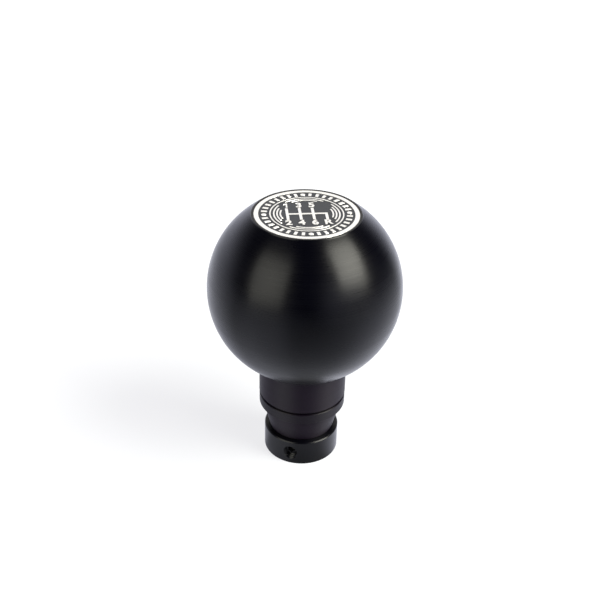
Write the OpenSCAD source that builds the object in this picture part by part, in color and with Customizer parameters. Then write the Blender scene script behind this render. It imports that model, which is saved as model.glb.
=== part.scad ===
// Gear shift knob: a turned ball on a grooved neck that clamps on a plain round lever.
// Millimetres. The origin is the centre of the clamp collar's foot, with +Z up the lever.
// The badge reads from -Y, the driver's side.

/* [Ball] */
// Diameter of the ball
ball_d = 50; // [44:0.5:60]
// Width of the plain lip round the badge
lip_w = 0.43; // [0.3:0.01:1.5]
// Bevel on the outer edge of the lip
lip_bevel = 0.2; // [0.1:0.05:0.25]

/* [Badge] */
// Diameter of the badge plate
badge_d = 26.1; // [22:0.1:30]
// Thickness of the badge plate
badge_t = 1.2; // [0.8:0.1:2.5]
// Radial gap between the badge and its pocket
badge_gap = 0.08; // [0.02:0.01:0.2]
// Depth of the badge's face below the lip
badge_sink = 0.05; // [0:0.01:0.3]
// Depth of the etched fields
etch = 0.12; // [0.05:0.01:0.3]
// Width of the bright outer rim
rim_w = 1.15; // [0.6:0.05:2]
// Width of the etched band that holds the marks
band_w = 2.7; // [2:0.1:3.5]
// Width of the bright line inside the band
band_line = 0.35; // [0.2:0.05:0.6]
// Number of marks in the band
mark_n = 36; // [24:4:48]
// Length of a mark
mark_l = 1.5; // [1:0.1:1.8]
// Width of a mark
mark_w = 0.8; // [0.4:0.05:1]
// Diameter of the round mark at each quarter
dot_d = 1.3; // [0.9:0.1:1.7]
// Distance between the lanes of the shift gate
gate_pitch = 3.2; // [2.4:0.1:3.4]
// Length of a full lane of the shift gate
gate_l = 6.2; // [4:0.1:7]
// Width of the gate's lines
gate_w = 0.7; // [0.4:0.05:0.9]
// Width of the bright arcs round the gate
arc_w = 0.4; // [0.2:0.05:0.6]
// Distance from one arc to the next
arc_pitch = 0.8; // [0.7:0.05:1]

/* [Neck] */
// Diameter of the neck under the ball
neck_d = 23.3; // [21:0.1:26]
// Length of the neck between the ball and the shadow gap
neck_l = 9.95; // [6:0.05:20]
// Bevel on the neck's edges
neck_bevel = 0.15; // [0.05:0.05:0.3]
// Width by which the ball's seat is wider than the neck
seat_lip = 0.1; // [0.05:0.05:0.5]
// Diameter of the spigot that screws into the ball
spigot_d = 16; // [12:0.5:18]
// Length of the spigot
spigot_l = 15; // [8:0.5:18]
// Radial gap between the spigot and its socket
spigot_gap = 0.03; // [0.01:0.01:0.1]
// Empty depth of the socket past the spigot's end
socket_spare = 1; // [0.5:0.1:3]
// Depth and width of the turned relief at the spigot's root
relief = 0.8; // [0.4:0.1:1.2]

/* [Boot ring] */
// Height of the boot ring
ring_h = 2.85; // [2:0.05:6]
// Radial step from the neck in to the boot ring
ring_inset = 0.05; // [0.05:0.05:0.5]
// Radial thickness of the boot ring
ring_wall = 0.85; // [0.65:0.05:1.5]
// Bevel on the boot ring's edges
ring_bevel = 0.15; // [0.05:0.05:0.3]
// Height of the shadow gap above the boot ring
gap_h = 0.7; // [0.2:0.05:1]
// Depth of the shadow gap, in from the boot ring's outside
gap_deep = 0.5; // [0.3:0.05:0.6]

/* [Boot groove] */
// Height of the tapered sleeve between the boot ring and the clamp collar
groove_h = 7.9; // [5:0.1:15]
// Bevel at the foot of the sleeve, over the clamp collar
sleeve_bevel = 0.35; // [0.1:0.05:0.5]

/* [Clamp collar] */
// Diameter of the clamp collar
collar_d = 20.2; // [19:0.1:23]
// Height of the clamp collar
collar_h = 7.2; // [5.5:0.1:12]
// Width of the collar's top face outside the sleeve
collar_ledge = 1.35; // [0.6:0.05:1.6]
// Bevel on the collar's upper edge
collar_bevel = 0.25; // [0.1:0.05:0.6]
// Bevel on the collar's lower edge
foot_bevel = 0.1; // [0.05:0.05:0.6]
// Height of the core's end above the collar's foot
core_recess = 0.3; // [0:0.05:1]
// Radial gap between the core and the pieces pressed on it
press_gap = 0.02; // [0:0.01:0.05]

/* [Lever bore] */
// Diameter of the lever that the knob slides on
lever_d = 10; // [8:0.1:10.5]
// Radial gap between the lever and the bore
lever_gap = 0.05; // [0.02:0.01:0.1]
// Depth of the bore above the collar's foot
lever_deep = 26; // [15:0.5:26]
// Thickness of the core's wall inside the clamp collar
core_wall = 1.8; // [1.5:0.1:2]
// Bevel at the mouth of the bore
mouth_bevel = 0.6; // [0.2:0.1:1]

/* [Set screws] */
// Thread pitch diameter of a set screw
screw_d = 3.45; // [3.1:0.05:3.6]
// Radial running gap in the collar's thread
screw_gap = 0.05; // [0.02:0.01:0.1]
// Radial gap where a screw passes through the core
screw_clear = 0.42; // [0.3:0.02:0.6]
// Depth of a screw's outer end below the collar's outside
screw_recess = 1.5; // [0.2:0.1:1.6]
// Distance from a screw's point to the wall of the bore
point_gap = 0.15; // [0.1:0.05:0.6]
// Size of the hexagon socket across its flats
hex_af = 2; // [1.2:0.1:2.2]
// Depth of the hexagon socket
hex_deep = 1.5; // [1:0.1:1.7]
// Angle of the first screw round the collar, from -Y
screw_turn = -22.5; // [-60:0.5:60]

/* [Hidden] */

$fn = 96;

// Cuts run this far past the faces that they open
over = 1;
// Raised and joined shapes sink this far into what carries them
bite = 0.1;
// Half of a drill's point angle
drill_half = 59;
// Share of a screw's radius that its flat point keeps
point_share = 0.6;
// Least width of the face left round the hexagon socket
face_min = 0.1;
// Distance of the outer arcs from the bright line round the field
arc_margin = 0.75;
// Angle from the middle of an arc to its end, for the outer arc first
arc_half = [36, 26, 20];
screw_n = 3;
lane_n = 4;
quarter_n = 4;

// Radii
ball_r = ball_d / 2;
badge_r = badge_d / 2;
pocket_r = badge_r + badge_gap;
lip_r = pocket_r + lip_w;
neck_r = neck_d / 2;
seat_r = neck_r + seat_lip;
spigot_r = spigot_d / 2;
socket_r = spigot_r + spigot_gap;
ring_r = neck_r - ring_inset;
land_r = ring_r - ring_wall - press_gap;
gap_r = ring_r - gap_deep;
collar_r = collar_d / 2;
sleeve_r = collar_r - collar_ledge;
bore_r = lever_d / 2 + lever_gap;
core_r = bore_r + core_wall;
screw_r = screw_d / 2;
band_r = badge_r - rim_w;
field_r = band_r - band_w;

// Heights, counted up from the collar's foot
groove_z = collar_h;
ring_z = groove_z + groove_h;
gap_z = ring_z + ring_h;
neck_z = gap_z + gap_h;
seat_z = neck_z + neck_l;
ball_z = seat_z + sqrt(ball_r * ball_r - seat_r * seat_r);
flat_z = ball_z + sqrt(ball_r * ball_r - lip_r * lip_r);
spigot_z = seat_z + spigot_l;
badge_z = flat_z - badge_sink;
screw_z = collar_h / 2;

// The screws' length follows from where their two ends lie
screw_l = collar_r - screw_recess - bore_r - point_gap;

// Height of a drilled hole's point
function drill_point(r) = r / tan(drill_half);

// Half section of a plain bushing with a bevel on its lower and on its upper outer edge
module bushing_section(inner, outer, height, low_bevel, high_bevel) {
    polygon([
        [inner, 0],
        [outer - low_bevel, 0],
        [outer, low_bevel],
        [outer, height - high_bevel],
        [outer - high_bevel, height],
        [inner, height]
    ]);
}

// Half section of a drilled hole that opens downwards at z = 0, with a bevelled mouth
module drill_section(r, depth, bevel) {
    polygon([
        [0, -over],
        [r + bevel, -over],
        [r + bevel, 0],
        [r, bevel],
        [r, depth],
        [0, depth + drill_point(r)]
    ]);
}

// Places its children on the axis of screw i, which points outwards along +Z
module at_screw(i) {
    rotate([0, 0, screw_turn - 90 + i * 360 / screw_n])
        translate([0, 0, screw_z])
            rotate([0, 90, 0])
                children();
}

// Ball, cut flat above for the badge and below for the neck
module ball_section() {
    difference() {
        translate([0, ball_z]) circle(r = ball_r, $fn = 180);
        translate([-2 * ball_r, ball_z - 2 * ball_r]) square([2 * ball_r, 4 * ball_r]);
        translate([0, flat_z]) square(2 * ball_r);
        translate([0, seat_z - 2 * ball_r]) square(2 * ball_r);
        translate([0, badge_z - badge_t]) square([pocket_r, badge_t + over]);
        polygon([
            [lip_r - lip_bevel, flat_z],
            [lip_r + over, flat_z - (lip_bevel + over)],
            [lip_r + over, flat_z + over],
            [lip_r - lip_bevel, flat_z + over]
        ]);
        translate([0, seat_z]) drill_section(socket_r, spigot_l + socket_spare, relief / 2);
    }
}

module knob_ball() {
    color([0.04, 0.04, 0.05])
        rotate_extrude($fn = 180) ball_section();
}

// Bright marks of the badge's band: bars, with a dot at each quarter
module band_marks() {
    mid_r = (band_r + field_r) / 2;
    for (i = [0 : mark_n - 1])
        rotate(90 + i * 360 / mark_n)
            translate([mid_r, 0])
                if (i % (mark_n / quarter_n) == 0) circle(d = dot_d, $fn = 32);
                else square([mark_l, mark_w], center = true);
}

// Bright lines of the shift gate: full lanes, and a half lane for reverse
module gate_lines() {
    reach = (lane_n - 1) * gate_pitch;
    translate([-(reach + gate_w) / 2, -gate_w / 2]) square([reach + gate_w, gate_w]);
    for (i = [0 : lane_n - 1]) {
        top = i < lane_n - 1 ? gate_l / 2 : 0;
        translate([i * gate_pitch - (reach + gate_w) / 2, -gate_l / 2])
            square([gate_w, gate_l / 2 + top]);
    }
}

// Bright arcs on all four sides of the gate, with one more on its left and right
module gate_arcs() {
    outer_r = field_r - band_line - arc_margin;
    reach = 2 * badge_r;
    for (q = [0 : quarter_n - 1])
        for (i = [0 : len(arc_half) - 1 - q % 2])
            rotate(q * 360 / quarter_n)
                intersection() {
                    difference() {
                        circle(r = outer_r - i * arc_pitch + arc_w / 2);
                        circle(r = outer_r - i * arc_pitch - arc_w / 2);
                    }
                    polygon([
                        [0, 0],
                        [reach, -reach * tan(arc_half[i])],
                        [reach, reach * tan(arc_half[i])]
                    ]);
                }
}

// Everything that stands at the badge's full height
module badge_face() {
    difference() {
        circle(r = badge_r);
        circle(r = band_r);
    }
    difference() {
        circle(r = field_r);
        circle(r = field_r - band_line);
    }
    band_marks();
    gate_lines();
    gate_arcs();
}

module badge() {
    color([0.85, 0.86, 0.88])
        translate([0, 0, badge_z - badge_t]) {
            cylinder(r = badge_r, h = badge_t - etch);
            translate([0, 0, badge_t - etch - bite])
                linear_extrude(etch + bite) badge_face();
        }
}

// Core, from the end inside the collar up to the spigot inside the ball
module core_section() {
    polygon([
        [0, core_recess],
        [core_r, core_recess],
        [core_r, groove_z],
        [sleeve_r - sleeve_bevel, groove_z],
        [sleeve_r, groove_z + sleeve_bevel],
        [land_r, ring_z],
        [land_r, gap_z],
        [gap_r, gap_z],
        [gap_r, neck_z],
        [neck_r - neck_bevel, neck_z],
        [neck_r, neck_z + neck_bevel],
        [neck_r, seat_z - neck_bevel],
        [neck_r - neck_bevel, seat_z],
        [spigot_r - relief / 2, seat_z],
        [spigot_r - relief / 2, seat_z + relief],
        [spigot_r, seat_z + 1.5 * relief],
        [spigot_r, spigot_z - relief],
        [spigot_r - relief, spigot_z],
        [0, spigot_z]
    ]);
}

module neck_core() {
    color([0.16, 0.14, 0.17])
        difference() {
            rotate_extrude()
                difference() {
                    core_section();
                    translate([0, core_recess])
                        drill_section(bore_r, lever_deep - core_recess, mouth_bevel);
                }
            for (i = [0 : screw_n - 1])
                at_screw(i) cylinder(r = screw_r + screw_clear, h = collar_r);
        }
}

module boot_ring() {
    color([0.2, 0.2, 0.24])
        translate([0, 0, ring_z])
            rotate_extrude()
                bushing_section(land_r + press_gap, ring_r, ring_h, ring_bevel, ring_bevel);
}

module clamp_collar() {
    color([0.15, 0.16, 0.2])
        difference() {
            rotate_extrude()
                bushing_section(core_r + press_gap, collar_r, collar_h, foot_bevel, collar_bevel);
            for (i = [0 : screw_n - 1])
                at_screw(i)
                    translate([0, 0, bore_r])
                        cylinder(r = screw_r + screw_gap, h = collar_r);
        }
}

// Set screw i: a flat point towards the bore and a hexagon socket towards the outside
module set_screw(i) {
    point_r = point_share * screw_r;
    end_bevel = screw_r - hex_af / sqrt(3) - face_min;
    color([0.3, 0.3, 0.32])
        at_screw(i)
            translate([0, 0, bore_r + point_gap])
                difference() {
                    rotate_extrude()
                        polygon([
                            [0, 0],
                            [point_r, 0],
                            [screw_r, screw_r - point_r],
                            [screw_r, screw_l - end_bevel],
                            [screw_r - end_bevel, screw_l],
                            [0, screw_l]
                        ]);
                    translate([0, 0, screw_l - hex_deep])
                        cylinder(d = hex_af / cos(30), h = hex_deep + over, $fn = 6);
                }
}

module set_screw_1() { set_screw(0); }
module set_screw_2() { set_screw(1); }
module set_screw_3() { set_screw(2); }

knob_ball();
badge();
neck_core();
boot_ring();
clamp_collar();
set_screw_1();
set_screw_2();
set_screw_3();
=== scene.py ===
"""Looks of the gear shift knob: turned black metal, an etched silver badge and threaded set screws."""
import math

import bmesh
import bpy
from mathutils import Matrix, Vector


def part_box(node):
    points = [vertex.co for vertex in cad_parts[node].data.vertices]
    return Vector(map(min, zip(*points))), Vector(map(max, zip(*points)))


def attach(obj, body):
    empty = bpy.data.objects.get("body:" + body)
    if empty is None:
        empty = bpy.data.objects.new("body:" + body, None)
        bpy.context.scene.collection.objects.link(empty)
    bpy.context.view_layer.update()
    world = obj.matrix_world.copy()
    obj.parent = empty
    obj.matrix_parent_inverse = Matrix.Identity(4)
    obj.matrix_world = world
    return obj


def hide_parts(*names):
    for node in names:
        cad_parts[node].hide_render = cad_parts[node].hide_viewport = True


MM = 0.001
TINY = 1e-9

# Turned pieces: segments round the axis, steps in a rounded edge, the strip beside it that keeps a flat
# flat, the radius of a fine edge, the most of a side that edge and strip may each take, and the angles
# above which a corner counts as straight and an edge as sharp
SEGMENTS = 224
EDGE_STEPS = 4
STRIP = 0.03 * MM
FINE_EDGE = 0.05 * MM
EDGE_SHARE = 0.42
STRIP_SHARE = 0.2
STRAIGHT = 179
SHARP_TURNED = 38

# Ball: the lip round the badge with its bevel, the gap round the badge, and the socket over the spigot
LIP_BEVEL = 0.2 * MM
LIP_BEVEL_W = 0.15 * MM
LIP_EDGE = 0.07 * MM
BADGE_GAP = 0.08 * MM
SEAT_LIP = 0.1 * MM
SOCKET_R = 8.03 * MM
SOCKET_DEPTH = 16 * MM
SOCKET_BEVEL = 0.4 * MM
DRILL_POINT = 4.8 * MM
BALL_STEPS = 110

# Neck and core: the shadow gap and the land of the boot ring, the spigot with its relief, and the lever bore
NECK_BEVEL = 0.15 * MM
RELIEF = 0.8 * MM
RELIEF_END = 1.2 * MM
GAP_H = 0.7 * MM
GAP_DEEP = 0.8 * MM
RING_WALL = 0.85 * MM
PRESS_GAP = 0.02 * MM
SPIGOT_R = 8 * MM
BORE_R = 5.05 * MM
BORE_TOP = 26 * MM
BORE_POINT = 3.0 * MM
MOUTH_BEVEL = 0.6 * MM
CORE_R = 6.85 * MM
LEDGE = 1.35 * MM
SLEEVE_BEVEL = 0.35 * MM

# Boot ring and clamp collar
RING_BEVEL = 0.15 * MM
COLLAR_BEVEL = 0.25 * MM
FOOT_BEVEL = 0.1 * MM

# Set screws: turn of the first from the front, thread pitch and the share of it that each flat takes, crest
# and root of the screw and of the thread in the collar, the thread's mouth, the hole in the core, how far
# from the axis the holes start, the hex socket, and the tip's share of the crest's radius
SCREW_N = 3
SCREW_TURN = -22.5
PITCH = 0.7 * MM
THREAD_FLAT = 0.2
SCREW_CREST = 1.725 * MM
SCREW_ROOT = 1.45 * MM
HOLE_CREST = 1.775 * MM
HOLE_ROOT = 2.05 * MM
HOLE_MOUTH = 2.1 * MM
CORE_HOLE_R = 2.145 * MM
CORE_HOLE_START = 1.4 * MM
COLLAR_HOLE_START = CORE_R - 1.4 * MM
HEX_SIDES = 6
HEX_FLATS = 2 * MM
HEX_R = HEX_FLATS / math.sqrt(3)
HEX_DEEP = 1.5 * MM
HEX_POINT = 0.5 * MM
HEX_LAND = 0.1 * MM
TIP_SHARE = 0.6
THREAD_STEPS = 14
THREAD_SIDES = 56
SHARP_SCREW = 30

# Badge: depth of its etched fields, how far its signs reach into their floor, and the layout of its face
ETCH = 0.12 * MM
SIGN_ROOT = 0.02 * MM
RIM_W = 1.15 * MM
BAND_W = 2.7 * MM
BAND_LINE = 0.35 * MM
MARK_N = 36
MARK_L = 1.5 * MM
MARK_W = 0.8 * MM
DOT_R = 0.65 * MM
DOT_STEPS = 32
QUARTERS = 4
GATE_PITCH = 3.2 * MM
GATE_L = 6.2 * MM
GATE_W = 0.7 * MM
LANES = 4
ARC_W = 0.4 * MM
ARC_PITCH = 0.8 * MM
ARC_MARGIN = 0.75 * MM
ARC_HALF = (36, 26, 20)
ARC_STEPS = 32
DIGIT_H = 2.3 * MM
DIGIT_Y = 4.65 * MM
DIGIT_SWELL = 0.09 * MM
DIGIT_SHARE = 0.7
FACE_EDGE = 0.025 * MM
SHARP_PLATE = 50
SHARP_SIGN = 30

# The first numeral: an outline round its middle, in millimetres. The others are text
FIRST_SIGN = (
    (-0.05, -1.15),
    (0.38, -1.15),
    (0.38, 1.15),
    (0.02, 1.15),
    (-0.55, 0.8),
    (-0.55, 0.38),
    (-0.05, 0.64),
)

# The other signs, over and under each lane. A space is where the first numeral or nothing stands
SIGNS = (" 2", "34", "56", " R")

# Blacks: two tones of the anodising, roughness, anisotropy, strength of the turned lines, and index of
# refraction; and the rotation of the anisotropy, in whole turns
BLACKS = {
    "ball_black": ((0.0003, 0.0003, 0.0012), (0.0005, 0.0005, 0.0017), 0.285, 0.57, 0.35, 1.25),
    "neck_black": ((0.0022, 0.0003, 0.0036), (0.0034, 0.0008, 0.0050), 0.50, 0.78, 0.3, 1.265),
    "ring_black": ((0.0012, 0.0003, 0.0024), (0.0022, 0.0007, 0.0034), 0.46, 0.78, 0.3, 1.275),
    "collar_black": ((0.0003, 0.0003, 0.0012), (0.0006, 0.0006, 0.0019), 0.34, 0.7, 0.2, 1.285),
}
GRAIN_TURN = 0.25

# Badge and screws: two tones, and the least and most roughness, of the silver, of its slate fields and of
# the oxide; how far down the etched depth the silver reaches; how metallic the oxide is; the strengths of
# the bumps; and the index of refraction
SILVER = ((0.80, 0.79, 0.77), (0.88, 0.87, 0.85))
SILVER_ROUGH = (0.30, 0.38)
SLATE = ((0.02, 0.021, 0.026), (0.034, 0.036, 0.043))
SLATE_ROUGH = (0.5, 0.62)
SILVER_SHARE = 0.8
OXIDE = ((0.008, 0.008, 0.010), (0.022, 0.022, 0.026))
OXIDE_ROUGH = (0.28, 0.45)
OXIDE_METAL = 0.3
BADGE_BUMP = 0.25
OXIDE_BUMP = 0.2
BARE_IOR = 1.3

# Noises: scale, detail and roughness; the depth of the bumps from them; the middle of their range, over
# which the tones or the gloss run from one end to the other; and the changes of gloss
LINE_NOISE = (5200, 4, 0.7)
BAND_NOISE = (420, 2, 0.5)
TONE_NOISE = (130, 3, 0.5)
GRAIN_NOISE = (9000, 3, 0.6)
CLOUD_NOISE = (260, 3, 0.5)
OXIDE_NOISE = (900, 4, 0.6)
PIT_NOISE = (6000, 3, 0.5)
LINE_DEPTH = 0.004 * MM
GRAIN_DEPTH = 0.003 * MM
TONE_MIDDLE = (0.35, 0.65)
MIDDLE = (0.3, 0.7)
LINE_GLOSS = (-0.03, 0.03)
BROAD_GLOSS = (-0.02, 0.02)

# Camera: place round the ball's centre, and its roll, in the photograph's frame of 600 by 600
FRAME_PX = 600
CAM_AZ = -96.4
CAM_EL = 31.17
CAM_ROLL = 1.56
CAM_DIST = 250 * MM
CAM_FOCAL_PX = 977.1
CAM_CENTRE_PX = (304.84, 286.85)
SENSOR = 36
CLIP_START = 10 * MM

# Light: the tints of the backdrop and the floor in reflections, of the screen behind, of the lamps and of
# the paper
STUDIO_TINT = (0.835, 0.85, 1.0)
SCREEN_TINT = (1.0, 0.98, 0.95)
LAMP_TINT = (1.0, 0.985, 0.88)
PAPER_TINT = (0.98, 0.972, 1.0)

# Softboxes: their distance from the ball, half the angle over which their grid lets light out, which makes
# them brightest in the middle, and of each its azimuth from the camera's, elevation, width, height, roll
# and radiance
LAMP_DIST = 0.7
LAMP_SPREAD = 55
LAMPS = {
    "right_softbox": (71.8, 40.2, 0.43, 0.57, -24, 20.8),
    "left_softbox": (-48, 28.3, 0.54, 0.67, 10, 5.9),
}

# Studio in reflections: soft round forms with azimuth from the camera's, elevation, the cosines of their
# outer and inner edge, and level; the heights over which the wide one fades out; the level of the screen,
# whose form gives its share of the tint; and the dark elsewhere
WIDE = (200, 0, 0.2, 0.8, 1.9)
WIDE_FADE = (0.05, 0.6)
SCREEN = (180, 33, 0.84, 0.95, 1.0)
SCREEN_LEVEL = 1.27
SIDE = (46, 12, 0.82, 1.0, 1.2)
DARK_LEVEL = 0.035

# Floor: half its side, its colour in the lamps' light, and the level of its glow to the camera, near the
# knob and far off; the glow is dimmer near the knob, painted shade that keeps the shadow deep there while it
# fades far off
FLOOR_HALF = 3.0
PAPER = (0.19, 0.2, 0.21)
PAPER_REACH = (0.02, 0.3)
PAPER_SHADED_GLOW = (0.72, 1.0)

# The floor's glow in reflections, painted light and shade like a table under soft lamps: painted shade close
# at the knob's foot and painted light round it, at some distances from the knob's axis; and painted pools of
# light with their azimuth to the right of straight behind, half width in degrees, and levels at the same
# distances
FLOOR_REACH = (0.012, 0.025, 0.1, 0.3)
FLOOR_LIGHT_AND_SHADE = (0.3, 0.95, 0.3, 0.0)
FLOOR_LIGHT_POOLS = {
    "front left": (-136, 37, (0.5, 0.25, 1.1, 1.0)),
    "back left": (-57, 59, (0.85, 0.0, 1.05, 1.35)),
    "back right": (14, 46, (0.45, 0.1, 1.0, 1.6)),
    "right": (81, 63, (1.6, 0.5, 0.8, 0.0)),
    "front right": (109, 57, (0.0, 0.0, 0.4, 0.6)),
}


def point(r, z, edge=0.0):
    """A corner of a half section, with the radius of its rounded edge."""
    return (r, z, edge)


def rounded(corners):
    """The closed half section with its corners rounded, and a narrow strip kept beside each of them."""
    outline = []
    n = len(corners)
    for i, (r, z, edge) in enumerate(corners):
        here = Vector((r, z))
        before = Vector(corners[i - 1][:2]) - here
        after = Vector(corners[(i + 1) % n][:2]) - here
        turn = before.angle(after) if before.length * after.length > 0 else math.pi
        if edge <= 0 or turn > math.radians(STRAIGHT):
            outline.append(here)
            continue
        cut = edge / math.tan(turn / 2)
        cut = min(cut, EDGE_SHARE * before.length, EDGE_SHARE * after.length)
        radius = cut * math.tan(turn / 2)
        strip = min(STRIP, STRIP_SHARE * before.length, STRIP_SHARE * after.length)
        into = before.normalized()
        out = after.normalized()
        centre = here + (into + out).normalized() * (radius / math.sin(turn / 2))
        start = here + into * cut - centre
        sweep = start.angle_signed(here + out * cut - centre)
        outline.append(here + into * (cut + strip))
        for k in range(EDGE_STEPS + 1):
            angle = -sweep * k / EDGE_STEPS
            outline.append(centre + Matrix.Rotation(angle, 2) @ start)
        outline.append(here + out * (cut + strip))
    return outline


def turned(name, outline, segments=SEGMENTS):
    """A mesh turned about Z from a closed half section, which runs anticlockwise."""
    bm = bmesh.new()
    rings = []
    for p in outline:
        if p.x < TINY:
            rings.append([bm.verts.new((0, 0, p.y))])
            continue
        ring = []
        for k in range(segments):
            a = 2 * math.pi * k / segments
            ring.append(bm.verts.new((p.x * math.cos(a), p.x * math.sin(a), p.y)))
        rings.append(ring)
    for low, high in zip(rings, rings[1:] + rings[:1]):
        if len(low) == 1 and len(high) == 1:
            continue
        for k in range(segments):
            j = (k + 1) % segments
            corners = [low[k % len(low)], low[j % len(low)], high[j % len(high)], high[k % len(high)]]
            corners = [v for i, v in enumerate(corners) if v not in corners[:i]]
            bm.faces.new(corners)
    return finished(name, bm)


def finished(name, bm):
    """A linked, smooth shaded object from a bmesh, with its faces turned outwards."""
    bmesh.ops.recalc_face_normals(bm, faces=bm.faces)
    mesh = bpy.data.meshes.new(name)
    bm.to_mesh(mesh)
    bm.free()
    mesh.shade_smooth()
    obj = bpy.data.objects.new(name, mesh)
    bpy.context.scene.collection.objects.link(obj)
    return obj


def sharpen(obj, degrees):
    """Marks the edges that turn by more than this angle as sharp."""
    obj.data.set_sharp_from_angle(angle=math.radians(degrees))


def drilled(obj, *cutters):
    """Subtracts the cutters from obj and removes them."""
    for cutter in cutters:
        modifier = obj.modifiers.new("cut", "BOOLEAN")
        modifier.operation = "DIFFERENCE"
        modifier.solver = "EXACT"
        modifier.object = cutter
    depsgraph = bpy.context.evaluated_depsgraph_get()
    mesh = bpy.data.meshes.new_from_object(obj.evaluated_get(depsgraph))
    obj.modifiers.clear()
    obj.data = mesh
    mesh.shade_smooth()
    for cutter in cutters:
        bpy.data.objects.remove(cutter)


def thread_radius(phase, crest, root):
    """Radius of a thread at a phase from 0 to 1 along one pitch: flat crest, flank, flat root, flank."""
    flank = (1 - 2 * THREAD_FLAT) / 2
    if phase < THREAD_FLAT:
        return crest
    if phase < THREAD_FLAT + flank:
        return crest + (root - crest) * (phase - THREAD_FLAT) / flank
    if phase < 2 * THREAD_FLAT + flank:
        return root
    return root + (crest - root) * (phase - 2 * THREAD_FLAT - flank) / flank


def threaded(name, crest, root, low, high, limit=None):
    """A closed threaded rod along Z from low to high. limit(z) caps its radius, for bevelled ends."""
    bm = bmesh.new()
    steps = max(2, round((high - low) / PITCH * THREAD_STEPS))
    rings = []
    for i in range(steps + 1):
        z = low + (high - low) * i / steps
        ring = []
        for k in range(THREAD_SIDES):
            share = k / THREAD_SIDES
            radius = thread_radius((z / PITCH - share) % 1, crest, root)
            if limit:
                radius = min(radius, limit(z))
            a = 2 * math.pi * share
            ring.append(bm.verts.new((radius * math.cos(a), radius * math.sin(a), z)))
        rings.append(ring)
    for a, b in zip(rings, rings[1:]):
        for k in range(THREAD_SIDES):
            j = (k + 1) % THREAD_SIDES
            bm.faces.new((a[k], a[j], b[j], b[k]))
    bm.faces.new(list(reversed(rings[0])))
    bm.faces.new(rings[-1])
    return finished(name, bm)


def on_screw_axis(i, z):
    """The place of screw i: its local Z points outwards along the screw."""
    turn = Matrix.Rotation(math.radians(SCREW_TURN - 90 + i * 360 / SCREW_N), 4, "Z")
    return turn @ Matrix.Translation((0, 0, z)) @ Matrix.Rotation(math.radians(90), 4, "Y")


def placed(obj, matrix):
    """obj with its mesh moved by a matrix, its object still at the origin."""
    obj.data.transform(matrix)
    return obj


def ball_seat_and_middle():
    """Radius of the ball's flat seat on the neck, and the height of the ball's centre."""
    low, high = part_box("knob_ball")
    seat_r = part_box("neck_core")[1].x + SEAT_LIP
    return seat_r, low.z + math.sqrt(high.x**2 - seat_r**2)


def make_ball():
    """The ball: a turned sphere with a pocket for the badge in its flat top, and a socket for the spigot."""
    low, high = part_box("knob_ball")
    badge_low, badge_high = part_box("badge")
    seat_r, ball_z = ball_seat_and_middle()
    ball_r = high.x
    pocket_r = badge_high.x + BADGE_GAP
    flat_z = high.z
    bevel_z = flat_z - LIP_BEVEL
    top_r = math.sqrt(ball_r**2 - (bevel_z - ball_z) ** 2)
    first = math.asin((low.z - ball_z) / ball_r)
    last = math.asin((bevel_z - ball_z) / ball_r)
    corners = [
        point(0, low.z + SOCKET_DEPTH + DRILL_POINT),
        point(SOCKET_R, low.z + SOCKET_DEPTH, FINE_EDGE),
        point(SOCKET_R, low.z + SOCKET_BEVEL, FINE_EDGE),
        point(SOCKET_R + SOCKET_BEVEL, low.z, FINE_EDGE),
        point(seat_r, low.z, FINE_EDGE),
    ]
    for k in range(1, BALL_STEPS):
        a = first + (last - first) * k / BALL_STEPS
        corners.append(point(ball_r * math.cos(a), ball_z + ball_r * math.sin(a)))
    corners += [
        point(top_r, bevel_z, LIP_EDGE),
        point(top_r - LIP_BEVEL_W, flat_z, LIP_EDGE),
        point(pocket_r, flat_z, FINE_EDGE),
        point(pocket_r, badge_low.z, FINE_EDGE),
        point(0, badge_low.z),
    ]
    ball = turned("turned_ball", rounded(corners))
    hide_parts("knob_ball")
    return ball


def bushing(name, inner, outer, low, high, low_bevel, high_bevel):
    """A plain bushing with bevelled and finely rounded outer edges."""
    return turned(
        name,
        rounded(
            [
                point(inner, low, FINE_EDGE),
                point(outer - low_bevel, low, FINE_EDGE),
                point(outer, low + low_bevel, FINE_EDGE),
                point(outer, high - high_bevel, FINE_EDGE),
                point(outer - high_bevel, high, FINE_EDGE),
                point(inner, high, FINE_EDGE),
            ]
        ),
    )


def make_ring():
    """The boot ring."""
    low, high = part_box("boot_ring")
    ring = bushing("boot_ring_turned", high.x - RING_WALL, high.x, low.z, high.z, RING_BEVEL, RING_BEVEL)
    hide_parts("boot_ring")
    return ring


def make_collar():
    """The clamp collar with its threaded holes, each with a countersunk mouth."""
    low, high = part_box("clamp_collar")
    bore_r = CORE_R + PRESS_GAP
    collar = bushing("clamp_collar_drilled", bore_r, high.x, low.z, high.z, FOOT_BEVEL, COLLAR_BEVEL)
    middle = (low.z + high.z) / 2
    mouth = high.x - (HOLE_MOUTH - HOLE_CREST)
    for i in range(SCREW_N):
        hole = threaded("thread_cutter", HOLE_ROOT, HOLE_CREST, COLLAR_HOLE_START, high.x + PITCH)
        cone = turned(
            "mouth_cutter",
            [
                Vector((0, mouth)),
                Vector((HOLE_CREST, mouth)),
                Vector((HOLE_MOUTH + PITCH, high.x + PITCH)),
                Vector((0, high.x + PITCH)),
            ],
            THREAD_SIDES,
        )
        placed(hole, on_screw_axis(i, middle))
        placed(cone, on_screw_axis(i, middle))
        drilled(collar, hole, cone)
    sharpen(collar, SHARP_TURNED)
    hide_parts("clamp_collar")
    return collar


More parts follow.
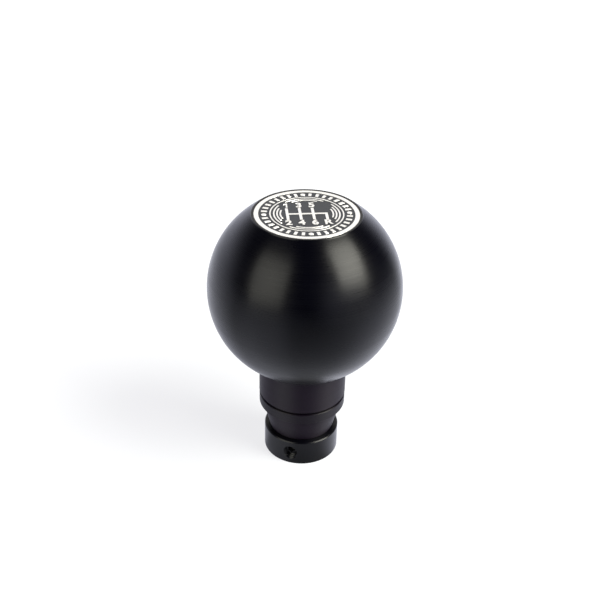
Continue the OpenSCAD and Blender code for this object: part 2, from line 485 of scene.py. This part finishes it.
def make_core():
    """Neck, shadow gap, ring's land, sleeve, spigot and bore in one piece, drilled for the set screws."""
    low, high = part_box("neck_core")
    ring_low, ring_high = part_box("boot_ring")
    collar_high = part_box("clamp_collar")[1]
    seat_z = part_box("knob_ball")[0].z
    neck_r = high.x
    land_r = ring_high.x - RING_WALL - PRESS_GAP
    gap_r = ring_high.x - GAP_DEEP
    neck_z = ring_high.z + GAP_H
    corners = [
        point(0, BORE_TOP + BORE_POINT),
        point(BORE_R, BORE_TOP, FINE_EDGE),
        point(BORE_R, low.z + MOUTH_BEVEL, FINE_EDGE),
        point(BORE_R + MOUTH_BEVEL, low.z, FINE_EDGE),
        point(CORE_R, low.z, FINE_EDGE),
        point(CORE_R, collar_high.z, 0),
        point(collar_high.x - LEDGE - SLEEVE_BEVEL, collar_high.z, FINE_EDGE),
        point(collar_high.x - LEDGE, collar_high.z + SLEEVE_BEVEL, FINE_EDGE),
        point(land_r, ring_low.z, 0),
        point(land_r, ring_high.z, 0),
        point(gap_r, ring_high.z, 0),
        point(gap_r, neck_z, 0),
        point(neck_r - NECK_BEVEL, neck_z, FINE_EDGE),
        point(neck_r, neck_z + NECK_BEVEL, FINE_EDGE),
        point(neck_r, seat_z - NECK_BEVEL, FINE_EDGE),
        point(neck_r - NECK_BEVEL, seat_z, FINE_EDGE),
        point(SPIGOT_R - RELIEF / 2, seat_z, FINE_EDGE),
        point(SPIGOT_R - RELIEF / 2, seat_z + RELIEF, FINE_EDGE),
        point(SPIGOT_R, seat_z + RELIEF_END, FINE_EDGE),
        point(SPIGOT_R, high.z - RELIEF, FINE_EDGE),
        point(SPIGOT_R - RELIEF, high.z, FINE_EDGE),
        point(0, high.z),
    ]
    core = turned("neck_core_turned", rounded(corners))
    middle = collar_high.z / 2
    for i in range(SCREW_N):
        hole = threaded("hole_cutter", CORE_HOLE_R, CORE_HOLE_R, CORE_HOLE_START, high.x + PITCH)
        placed(hole, on_screw_axis(i, middle))
        drilled(core, hole)
    sharpen(core, SHARP_TURNED)
    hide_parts("neck_core")
    return core


def make_screw(i):
    """Set screw i, between the ends of its solid: a thread with a point inside and a hex socket outside."""
    node = f"set_screw_{i + 1}"
    place = on_screw_axis(i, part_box("clamp_collar")[1].z / 2)
    inverse = place.inverted()
    along = [(inverse @ v.co).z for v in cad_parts[node].data.vertices]
    low = min(along)
    high = max(along)

    def limit(z):
        return min(TIP_SHARE * SCREW_CREST + (z - low), HEX_R + HEX_LAND + (high - z))

    screw = threaded(f"set_screw_threaded_{i + 1}", SCREW_CREST, SCREW_ROOT, low, high, limit)
    socket = turned(
        "socket_cutter",
        [
            Vector((0, high - HEX_DEEP - HEX_POINT)),
            Vector((HEX_R, high - HEX_DEEP)),
            Vector((HEX_R, high + PITCH)),
            Vector((0, high + PITCH)),
        ],
        HEX_SIDES,
    )
    drilled(screw, socket)
    placed(screw, place)
    sharpen(screw, SHARP_SCREW)
    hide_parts(node)
    return screw


def ring_outline(radius, steps):
    """Points round a circle."""
    return [
        (radius * math.cos(2 * math.pi * k / steps), radius * math.sin(2 * math.pi * k / steps))
        for k in range(steps)
    ]


def turned_points(points, angle, offset=(0, 0)):
    """Points moved by an offset and then turned about the origin."""
    c = math.cos(angle)
    s = math.sin(angle)
    moved = [(x + offset[0], y + offset[1]) for x, y in points]
    return [(c * x - s * y, s * x + c * y) for x, y in moved]


def bar(length, width):
    """Corners of a bar centred on the origin."""
    return [
        (-length / 2, -width / 2),
        (length / 2, -width / 2),
        (length / 2, width / 2),
        (-length / 2, width / 2),
    ]


def gate_outline():
    """Outline of the shift gate: full lanes on one crossbar, and a half lane for reverse."""
    half = GATE_W / 2
    xs = [(i - (LANES - 1) / 2) * GATE_PITCH for i in range(LANES)]
    points = []
    for x in xs:
        points += [(x - half, -GATE_L / 2), (x + half, -GATE_L / 2)]
        if x != xs[-1]:
            points += [(x + half, -half), (x + GATE_PITCH - half, -half)]
    points += [(xs[-1] + half, half)]
    for x in reversed(xs[:-1]):
        points += [(x + half, half), (x + half, GATE_L / 2), (x - half, GATE_L / 2)]
        if x != xs[0]:
            points += [(x - half, half)]
    return points


def arc_outline(radius, half):
    """Outline of an arc to the right of the origin, from its radius and its half angle in degrees."""
    points = []
    for r, way in ((radius + ARC_W / 2, 1), (radius - ARC_W / 2, -1)):
        for k in range(ARC_STEPS + 1):
            a = way * math.radians(half) * (2 * k / ARC_STEPS - 1)
            points.append((r * math.cos(a), r * math.sin(a)))
    return points


def inset(outline, distance):
    """An anticlockwise outline moved inwards."""
    moved = []
    for i, corner in enumerate(outline):
        here = Vector(corner)
        into = (here - Vector(outline[i - 1])).orthogonal().normalized()
        out = (Vector(outline[(i + 1) % len(outline)]) - here).orthogonal().normalized()
        moved.append(here + (into + out) * (distance / (1 + into.dot(out))))
    return moved


def raised(name, outline, top, depth):
    """A raised shape with a finely bevelled edge, from an anticlockwise flat outline."""
    bm = bmesh.new()
    levels = ((outline, top - depth), (outline, top - FACE_EDGE), (inset(outline, FACE_EDGE), top))
    rings = [[bm.verts.new((x, y, z)) for x, y in points] for points, z in levels]
    for low, high in zip(rings, rings[1:]):
        for k in range(len(outline)):
            bm.faces.new((low[k - 1], low[k], high[k], high[k - 1]))
    bm.faces.new(reversed(rings[0]))
    bm.faces.new(rings[-1])
    return finished(name, bm)


def as_mesh(obj, z):
    """The text as a mesh object at a height."""
    bpy.context.view_layer.update()
    depsgraph = bpy.context.evaluated_depsgraph_get()
    mesh = bpy.data.meshes.new_from_object(obj.evaluated_get(depsgraph))
    mesh.transform(Matrix.Translation((0, 0, z)) @ obj.matrix_world)
    name = obj.name
    bpy.data.objects.remove(obj)
    made = bpy.data.objects.new(name, mesh)
    bpy.context.scene.collection.objects.link(made)
    return made


def digit(character, x, y, top, depth):
    """A raised numeral of the gate."""
    text = bpy.data.curves.new(f"gate_sign_{character}", "FONT")
    text.body = character
    text.align_x = "CENTER"
    text.align_y = "CENTER"
    text.size = DIGIT_H / DIGIT_SHARE
    text.extrude = depth / 2 - FACE_EDGE
    text.bevel_depth = FACE_EDGE
    text.offset = DIGIT_SWELL
    obj = bpy.data.objects.new(f"gate_sign_{character}", text)
    bpy.context.scene.collection.objects.link(obj)
    obj.location = (x, y, 0)
    return as_mesh(obj, top - depth / 2)


def joined(name, parts):
    """One object from several meshes."""
    bm = bmesh.new()
    for part in parts:
        bm.from_mesh(part.data)
        bpy.data.objects.remove(part)
    bmesh.ops.remove_doubles(bm, verts=bm.verts, dist=10 * TINY)
    return finished(name, bm)


def make_badge():
    """The badge's plate, with its rim and etched floor, and all its raised signs as one object."""
    low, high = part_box("badge")
    badge_r = high.x
    band_r = badge_r - RIM_W
    field_r = band_r - BAND_W
    floor_z = high.z - ETCH
    plate = turned(
        "badge_plate",
        rounded(
            [
                point(0, low.z),
                point(badge_r, low.z, FINE_EDGE),
                point(badge_r, high.z, FINE_EDGE),
                point(band_r, high.z, FACE_EDGE),
                point(band_r, floor_z, 0),
                point(field_r, floor_z, 0),
                point(field_r, high.z, FACE_EDGE),
                point(field_r - BAND_LINE, high.z, FACE_EDGE),
                point(field_r - BAND_LINE, floor_z, 0),
                point(0, floor_z),
            ]
        ),
    )
    sharpen(plate, SHARP_PLATE)
    sunk = ETCH + SIGN_ROOT
    parts = []
    mid_r = (band_r + field_r) / 2
    for i in range(MARK_N):
        angle = math.pi / 2 + 2 * math.pi * i / MARK_N
        shape = bar(MARK_L, MARK_W)
        if i % (MARK_N // QUARTERS) == 0:
            shape = ring_outline(DOT_R, DOT_STEPS)
        parts.append(raised(f"mark_{i}", turned_points(shape, angle, (mid_r, 0)), high.z, sunk))
    for quarter in range(QUARTERS):
        for i, half in enumerate(ARC_HALF[: len(ARC_HALF) - quarter % 2]):
            shape = arc_outline(field_r - BAND_LINE - ARC_MARGIN - i * ARC_PITCH, half)
            shape = turned_points(shape, quarter * math.pi / 2)
            parts.append(raised(f"arc_{quarter}_{i}", shape, high.z, sunk))
    parts.append(raised("gate", gate_outline(), high.z, sunk))
    for i, pair in enumerate(SIGNS):
        x = (i - (LANES - 1) / 2) * GATE_PITCH
        for character, y in zip(pair, (DIGIT_Y, -DIGIT_Y)):
            if character != " ":
                parts.append(digit(character, x, y, high.z, sunk))
    first = [((1 - LANES) / 2 * GATE_PITCH + x * MM, DIGIT_Y + y * MM) for x, y in FIRST_SIGN]
    parts.append(raised("gate_sign_1", first, high.z, sunk))
    face = joined("badge_signs", parts)
    sharpen(face, SHARP_SIGN)
    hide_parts("badge")
    return plate, face


class Nodes:
    """Short calls for the node tree of a material or a world, which is the owner."""

    def __init__(self, owner):
        owner.use_nodes = True
        self.owner = owner
        self.tree = owner.node_tree
        self.shader = self.tree.nodes.get("Principled BSDF")

    def new(self, kind, **values):
        node = self.tree.nodes.new("ShaderNode" + kind)
        for key, value in values.items():
            setattr(node, key, value)
        return node

    def link(self, source, target):
        self.tree.links.new(source, target)

    def math(self, operation, *values):
        node = self.new("Math", operation=operation)
        for socket, value in zip(node.inputs, values):
            if isinstance(value, (int, float)):
                socket.default_value = value
            else:
                self.link(value, socket)
        return node.outputs[0]

    def noise(self, vector, scale, detail, roughness):
        node = self.new("TexNoise")
        node.inputs["Scale"].default_value = scale
        node.inputs["Detail"].default_value = detail
        node.inputs["Roughness"].default_value = roughness
        self.link(vector, node.inputs["Vector"])
        return node.outputs["Fac"]

    def ramp(self, value, low, high, out_low, out_high, shape="LINEAR"):
        node = self.new("MapRange", interpolation_type=shape)
        ends = (("From Min", low), ("From Max", high), ("To Min", out_low), ("To Max", out_high))
        for name, number in ends:
            node.inputs[name].default_value = number
        self.link(value, node.inputs["Value"])
        return node.outputs[0]

    def mix(self, factor, a, b):
        """Between two colours, which are given or linked."""
        node = self.new("Mix", data_type="RGBA")
        self.link(factor, node.inputs["Factor"])
        for socket, colour in zip((node.inputs[6], node.inputs[7]), (a, b)):
            if isinstance(colour, tuple):
                socket.default_value = (*colour, 1)
            else:
                self.link(colour, socket)
        return node.outputs[2]

    def blend(self, factor, a, b):
        """Between two linked values."""
        node = self.new("Mix", data_type="FLOAT")
        for socket, value in zip((node.inputs["Factor"], node.inputs[2], node.inputs[3]), (factor, a, b)):
            self.link(value, socket)
        return node.outputs[0]

    def reach(self, distance, levels):
        """A level that changes with distance, through the given levels at the distances of FLOOR_REACH."""
        total = levels[0]
        for (near, far), (a, b) in zip(zip(FLOOR_REACH, FLOOR_REACH[1:]), zip(levels, levels[1:])):
            total = self.math("ADD", total, self.ramp(distance, near, far, 0.0, b - a))
        return total

    def along(self, place, way):
        """Distance of a place along a direction."""
        node = self.new("VectorMath", operation="DOT_PRODUCT")
        node.inputs[1].default_value = way
        self.link(place, node.inputs[0])
        return node.outputs["Value"]

    def vector(self, operation, place, output):
        """A vector operation that takes one vector."""
        node = self.new("VectorMath", operation=operation)
        self.link(place, node.inputs[0])
        return node.outputs[output]

    def lobe(self, place, azimuth, elevation, low, high, level):
        """A soft round form in a direction, from the cosines of its outer and inner edge."""
        toward = self.along(place, direction(CAM_AZ + azimuth, elevation))
        return self.ramp(toward, low, high, 0.0, level, "SMOOTHSTEP")

    def turning(self):
        """The place, the same as distance from Z and height, which is even all round, and the height."""
        place = self.new("TexCoord").outputs["Object"]
        split = self.new("SeparateXYZ")
        self.link(place, split.inputs[0])
        x, y, z = split.outputs
        square = self.math("ADD", self.math("MULTIPLY", x, x), self.math("MULTIPLY", y, y))
        radius = self.math("SQRT", square)
        rings = self.new("CombineXYZ")
        self.link(radius, rings.inputs[0])
        self.link(z, rings.inputs[1])
        return place, rings.outputs[0], z

    def bump(self, height, strength, distance):
        node = self.new("Bump")
        node.inputs["Strength"].default_value = strength
        node.inputs["Distance"].default_value = distance
        self.link(height, node.inputs["Height"])
        self.link(node.outputs[0], self.shader.inputs["Normal"])

    def set(self, **values):
        for key, value in values.items():
            self.shader.inputs[key.replace("_", " ")].default_value = value


def turned_black(name):
    """Black anodising over a turned surface: fine rings, with faint changes of tone and gloss."""
    dark, light, roughness, anisotropy, lines, ior = BLACKS[name]
    m = Nodes(bpy.data.materials.new(name))
    place, rings, _ = m.turning()
    fine = m.noise(rings, *LINE_NOISE)
    broad = m.noise(place, *TONE_NOISE)
    band = m.noise(rings, *BAND_NOISE)
    m.link(m.mix(m.ramp(broad, *TONE_MIDDLE, 0, 1), dark, light), m.shader.inputs["Base Color"])
    gloss = m.math("ADD", m.ramp(fine, *MIDDLE, *LINE_GLOSS), m.ramp(band, *MIDDLE, *BROAD_GLOSS))
    gloss = m.math("ADD", gloss, m.ramp(broad, *MIDDLE, *BROAD_GLOSS))
    m.link(m.math("ADD", gloss, roughness), m.shader.inputs["Roughness"])
    tangent = m.new("Tangent", direction_type="RADIAL", axis="Z")
    m.link(tangent.outputs[0], m.shader.inputs["Tangent"])
    m.bump(fine, lines, LINE_DEPTH)
    m.set(Metallic=0.0, IOR=ior, Anisotropic=anisotropy, Anisotropic_Rotation=GRAIN_TURN)
    return m.owner


def badge_silver():
    """Satin silver with slate coloured etched fields."""
    m = Nodes(bpy.data.materials.new("badge_silver"))
    place, _, z = m.turning()
    high = m.math("GREATER_THAN", z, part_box("badge")[1].z - SILVER_SHARE * ETCH)
    grain = m.noise(place, *GRAIN_NOISE)
    bright = m.mix(m.noise(place, *CLOUD_NOISE), *SILVER)
    m.link(m.mix(high, m.mix(grain, *SLATE), bright), m.shader.inputs["Base Color"])
    m.link(high, m.shader.inputs["Metallic"])
    rough_low = m.ramp(grain, *MIDDLE, *SLATE_ROUGH)
    rough_high = m.ramp(grain, *MIDDLE, *SILVER_ROUGH)
    m.link(m.blend(high, rough_low, rough_high), m.shader.inputs["Roughness"])
    m.bump(grain, BADGE_BUMP, GRAIN_DEPTH)
    m.set(IOR=BARE_IOR)
    return m.owner


def screw_black():
    """Black oxide on steel, a little uneven."""
    m = Nodes(bpy.data.materials.new("screw_black"))
    place = m.new("TexCoord").outputs["Object"]
    cloud = m.noise(place, *OXIDE_NOISE)
    m.link(m.mix(cloud, *OXIDE), m.shader.inputs["Base Color"])
    m.link(m.ramp(cloud, *MIDDLE, *OXIDE_ROUGH), m.shader.inputs["Roughness"])
    m.bump(m.noise(place, *PIT_NOISE), OXIDE_BUMP, LINE_DEPTH)
    m.set(Metallic=OXIDE_METAL, IOR=BARE_IOR)
    return m.owner


def paint(obj, material):
    """Gives obj this material alone."""
    obj.data.materials.clear()
    obj.data.materials.append(material)


def direction(azimuth, elevation):
    """The unit vector at an azimuth and an elevation in degrees."""
    a = math.radians(azimuth)
    e = math.radians(elevation)
    return Vector((math.cos(e) * math.cos(a), math.cos(e) * math.sin(a), math.sin(e)))


def make_lamps(target):
    """Area lamps of a given radiance, seen from the target at their angles, and rolled by some degrees."""
    spread = math.radians(LAMP_SPREAD)
    share = math.sin(spread) ** 2 - (spread - math.sin(2 * spread) / 2) / math.tan(spread)
    for name, (azimuth, elevation, width, height, roll, radiance) in LAMPS.items():
        data = bpy.data.lights.new(name, "AREA")
        data.shape = "RECTANGLE"
        data.size = width
        data.size_y = height
        data.spread = 2 * spread
        data.energy = radiance * share * math.pi * width * height
        data.color = LAMP_TINT
        lamp = bpy.data.objects.new(name, data)
        bpy.context.scene.collection.objects.link(lamp)
        lamp.location = target + direction(CAM_AZ + azimuth, elevation) * LAMP_DIST
        lamp.rotation_euler = (target - lamp.location).to_track_quat("-Z", "Y").to_euler()
        lamp.rotation_euler.rotate_axis("Z", math.radians(roll))


def make_camera(target):
    """The photograph's camera: it looks at the ball, then turns to put it where the photograph has it."""
    back = direction(CAM_AZ, CAM_EL)
    forward = -back
    right = forward.cross(Vector((0, 0, 1))).normalized()
    up = right.cross(forward)
    roll = math.radians(CAM_ROLL)
    right, up = (
        math.cos(roll) * right + math.sin(roll) * up,
        -math.sin(roll) * right + math.cos(roll) * up,
    )
    pan = math.atan((CAM_CENTRE_PX[0] - FRAME_PX / 2) / CAM_FOCAL_PX)
    right, forward = (
        math.cos(pan) * right + math.sin(pan) * forward,
        -math.sin(pan) * right + math.cos(pan) * forward,
    )
    tilt = math.atan(-(CAM_CENTRE_PX[1] - FRAME_PX / 2) / CAM_FOCAL_PX * math.cos(pan))
    up, forward = (
        math.cos(tilt) * up + math.sin(tilt) * forward,
        -math.sin(tilt) * up + math.cos(tilt) * forward,
    )
    data = bpy.data.cameras.new("camera")
    data.sensor_width = SENSOR
    data.sensor_fit = "HORIZONTAL"
    data.lens = CAM_FOCAL_PX / FRAME_PX * SENSOR
    data.clip_start = CLIP_START
    camera = bpy.data.objects.new("camera", data)
    bpy.context.scene.collection.objects.link(camera)
    turn = Matrix((right, up, -forward)).transposed().to_4x4()
    camera.matrix_world = Matrix.Translation(target + back * CAM_DIST) @ turn
    bpy.context.scene.camera = camera


def make_floor():
    """A pale floor: white to the camera away from the shadow, its glow dimmer near the knob as painted
    shade; in reflections, painted shade at the knob's foot and painted pools of light.
    """
    bm = bmesh.new()
    for x, y in ((-1, -1), (1, -1), (1, 1), (-1, 1)):
        bm.verts.new((x * FLOOR_HALF, y * FLOOR_HALF, 0))
    bm.faces.new(bm.verts)
    floor = finished("floor", bm)
    m = Nodes(bpy.data.materials.new("floor_paper"))
    place = m.new("TexCoord").outputs["Object"]
    distance = m.vector("LENGTH", place, "Value")
    away = m.vector("NORMALIZE", place, "Vector")
    # Painted light and shade in reflections: dark at the knob's foot, brighter round it, and pools of light
    # from the lamps' sides
    mirrored_light_and_shade = m.reach(distance, FLOOR_LIGHT_AND_SHADE)
    for azimuth, width, levels in FLOOR_LIGHT_POOLS.values():
        share = m.lobe(away, 180 - azimuth, 0, math.cos(math.radians(width)), 1.0, 1.0)
        mirrored_light_and_shade = m.math("ADD", mirrored_light_and_shade, m.math("MULTIPLY", share, m.reach(distance, levels)))
    # Painted shade to the camera: the glow is dimmer near the knob, which keeps its shadow deep there
    seen_shaded_glow = m.ramp(distance, *PAPER_REACH, *PAPER_SHADED_GLOW)
    straight = m.new("LightPath").outputs["Is Camera Ray"]
    paper = m.new("BsdfDiffuse")
    paper.inputs["Color"].default_value = (*PAPER, 1)
    glow = m.new("Emission")
    m.link(m.mix(straight, STUDIO_TINT, PAPER_TINT), glow.inputs["Color"])
    m.link(m.blend(straight, mirrored_light_and_shade, seen_shaded_glow), glow.inputs["Strength"])
    both = m.new("AddShader")
    m.link(paper.outputs[0], both.inputs[0])
    m.link(glow.outputs[0], both.inputs[1])
    m.link(both.outputs[0], m.tree.nodes["Material Output"].inputs["Surface"])
    paint(floor, m.owner)


def make_world():
    """A studio: a bright backdrop low down behind the object, dark elsewhere, and white to the camera."""
    world = bpy.data.worlds.new("studio")
    bpy.context.scene.world = world
    w = Nodes(world)
    w.tree.nodes.clear()
    way = w.new("TexCoord").outputs["Generated"]
    split = w.new("SeparateXYZ")
    w.link(way, split.inputs[0])
    low = w.ramp(split.outputs[2], *WIDE_FADE, 1.0, 0.0, "SMOOTHSTEP")
    screen = w.lobe(way, *SCREEN)
    wide = w.math("MULTIPLY", w.lobe(way, *WIDE), low)
    back = w.math("MAXIMUM", wide, w.math("MULTIPLY", screen, SCREEN_LEVEL))
    level = w.math("ADD", w.math("ADD", back, w.lobe(way, *SIDE)), DARK_LEVEL)
    studio = w.new("Background")
    w.link(w.mix(screen, STUDIO_TINT, SCREEN_TINT), studio.inputs["Color"])
    w.link(level, studio.inputs["Strength"])
    white = w.new("Background")
    white.inputs["Color"].default_value = (1, 1, 1, 1)
    mix = w.new("MixShader")
    w.link(w.new("LightPath").outputs["Is Camera Ray"], mix.inputs[0])
    w.link(studio.outputs[0], mix.inputs[1])
    w.link(white.outputs[0], mix.inputs[2])
    w.link(mix.outputs[0], w.new("OutputWorld").inputs["Surface"])


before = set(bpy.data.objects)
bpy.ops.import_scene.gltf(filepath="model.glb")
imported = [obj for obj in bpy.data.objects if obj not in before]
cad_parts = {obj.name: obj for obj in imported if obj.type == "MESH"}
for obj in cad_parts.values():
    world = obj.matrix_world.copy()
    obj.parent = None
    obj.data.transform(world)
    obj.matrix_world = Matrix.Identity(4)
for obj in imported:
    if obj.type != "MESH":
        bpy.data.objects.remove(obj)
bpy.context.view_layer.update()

ball_centre = Vector((0, 0, ball_seat_and_middle()[1]))

blacks = {name: turned_black(name) for name in BLACKS}
silver = badge_silver()
steel = screw_black()

ball = make_ball()
paint(ball, blacks["ball_black"])
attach(ball, "knob")

plate, signs = make_badge()
for piece in (plate, signs):
    paint(piece, silver)
    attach(piece, "knob")

for piece, slot in (
    (make_core(), "neck_black"),
    (make_ring(), "ring_black"),
    (make_collar(), "collar_black"),
):
    paint(piece, blacks[slot])
    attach(piece, "knob")

for i in range(SCREW_N):
    screw = make_screw(i)
    paint(screw, steel)
    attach(screw, f"screw_{i + 1}")

make_camera(ball_centre)
make_floor()
make_world()
make_lamps(ball_centre)

bpy.context.scene.view_settings.view_transform = "Standard"
